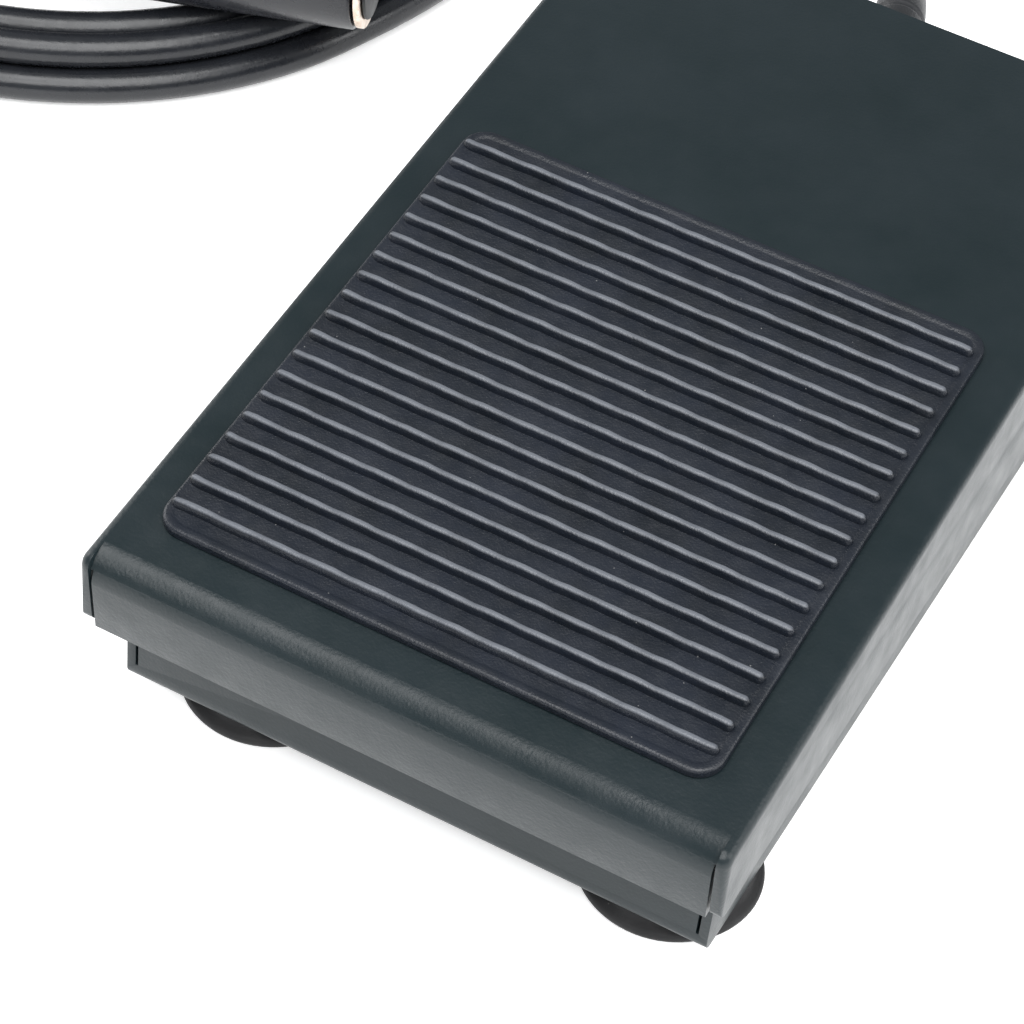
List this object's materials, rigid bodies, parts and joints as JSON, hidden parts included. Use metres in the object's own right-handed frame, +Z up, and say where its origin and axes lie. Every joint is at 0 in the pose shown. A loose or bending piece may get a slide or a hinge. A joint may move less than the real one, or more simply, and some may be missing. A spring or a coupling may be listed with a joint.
{
  "type": "sustain pedal",
  "caption": "Foot switch of folded black sheet steel: a ribbed treadle hinged over a tray with rubber feet, a snap switch and a cable coiled beside it with a quarter-inch plug.",
  "frame": {"origin": "on the floor, under the middle of the pedal's length and width, without its cable", "axes": "+Z up, +Y towards the rear, where the cable leaves, +X to the right as seen from the front"},
  "size_m": [0.2099, 0.183, 0.0351],
  "materials": {
    "powder_coat": "satin black powder coat, faint orange peel",
    "tread_rubber": "moulded ribbed rubber, low sheen",
    "foot_rubber": "matt black rubber",
    "boot_rubber": "satin black moulded rubber",
    "zinc_steel": "zinc plated",
    "spring_steel": "oiled spring steel",
    "nylon": "natural nylon",
    "switch_plastic": "moulded black plastic",
    "red_plastic": "red plastic",
    "white_insulation": "white wire insulation",
    "brass": "bare brass",
    "nickel": "nickel plated",
    "plug_plastic": "glossy black plastic",
    "cable_jacket": "smooth black PVC jacket"
  },
  "bodies": {
    "base": {"base_tray": "powder_coat", "foot_front_left": "foot_rubber", "foot_front_right": "foot_rubber", "foot_rear_left": "foot_rubber", "foot_rear_right": "foot_rubber", "front_stop_strip": "foot_rubber", "rear_rest_strip": "foot_rubber", "strain_relief": "boot_rubber", "plug_bushing": "boot_rubber", "hinge_axle": "zinc_steel", "foot_screw_front_left": "zinc_steel", "foot_screw_front_right": "zinc_steel", "foot_screw_rear_left": "zinc_steel", "foot_screw_rear_right": "zinc_steel", "spring_seat_screw": "zinc_steel", "bracket_screw_front": "zinc_steel", "bracket_screw_rear": "zinc_steel", "switch_screw_front": "zinc_steel", "switch_screw_rear": "zinc_steel", "switch_nut_front": "zinc_steel", "switch_nut_rear": "zinc_steel", "clamp_screw_left": "zinc_steel", "clamp_screw_right": "zinc_steel", "switch_bracket": "zinc_steel", "cord_clamp": "zinc_steel", "lever_pin": "zinc_steel", "return_spring": "spring_steel", "axle_clip_left": "spring_steel", "axle_clip_right": "spring_steel", "hinge_bush_left": "nylon", "hinge_bush_right": "nylon", "spring_seat": "nylon", "switch_housing": "switch_plastic", "signal_lead": "red_plastic", "ground_lead": "white_insulation", "terminal_common": "brass", "terminal_open": "brass", "terminal_closed": "brass", "plug_end_ring": "brass", "plug_collar": "nickel", "plug_sleeve": "nickel", "plug_tip": "nickel", "plug_handle": "plug_plastic", "plug_insulator": "plug_plastic", "cord_run": "cable_jacket", "cord_coil": "cable_jacket", "cord_plug_end": "cable_jacket", "cord_inner_end": "cable_jacket"},
    "treadle": {"cover": "powder_coat", "tread_pad": "tread_rubber", "spring_cap": "nylon", "actuator_post": "nylon"},
    "lever": {"switch_lever": "spring_steel"},
    "button": {"switch_button": "red_plastic"}
  },
  "joints": [
    {"name": "cover_hinge", "type": "hinge", "parent": "base", "child": "treadle", "pos_m": [0, 0.04133, 0.024], "axis": [1, 0, 0], "range_deg": [0, 4], "stiffness_Nm_per_rad": 5, "springref_deg": -2.86, "deforming": ["return_spring"]},
    {"name": "lever_hinge", "type": "hinge", "parent": "base", "child": "lever", "pos_m": [0.016, 0.02833, 0.0223], "axis": [1, 0, 0], "range_deg": [0, 6.7]},
    {"name": "button_slide", "type": "slide", "parent": "base", "child": "button", "axis": [0, 0, -1], "range_m": [0, 0.0008]}
  ],
  "couplings": [
    {"joint": "lever_hinge", "follows": "cover_hinge", "ratio": 1.65},
    {"joint": "button_slide", "follows": "cover_hinge", "m_per_rad": 0.0108}
  ]
}
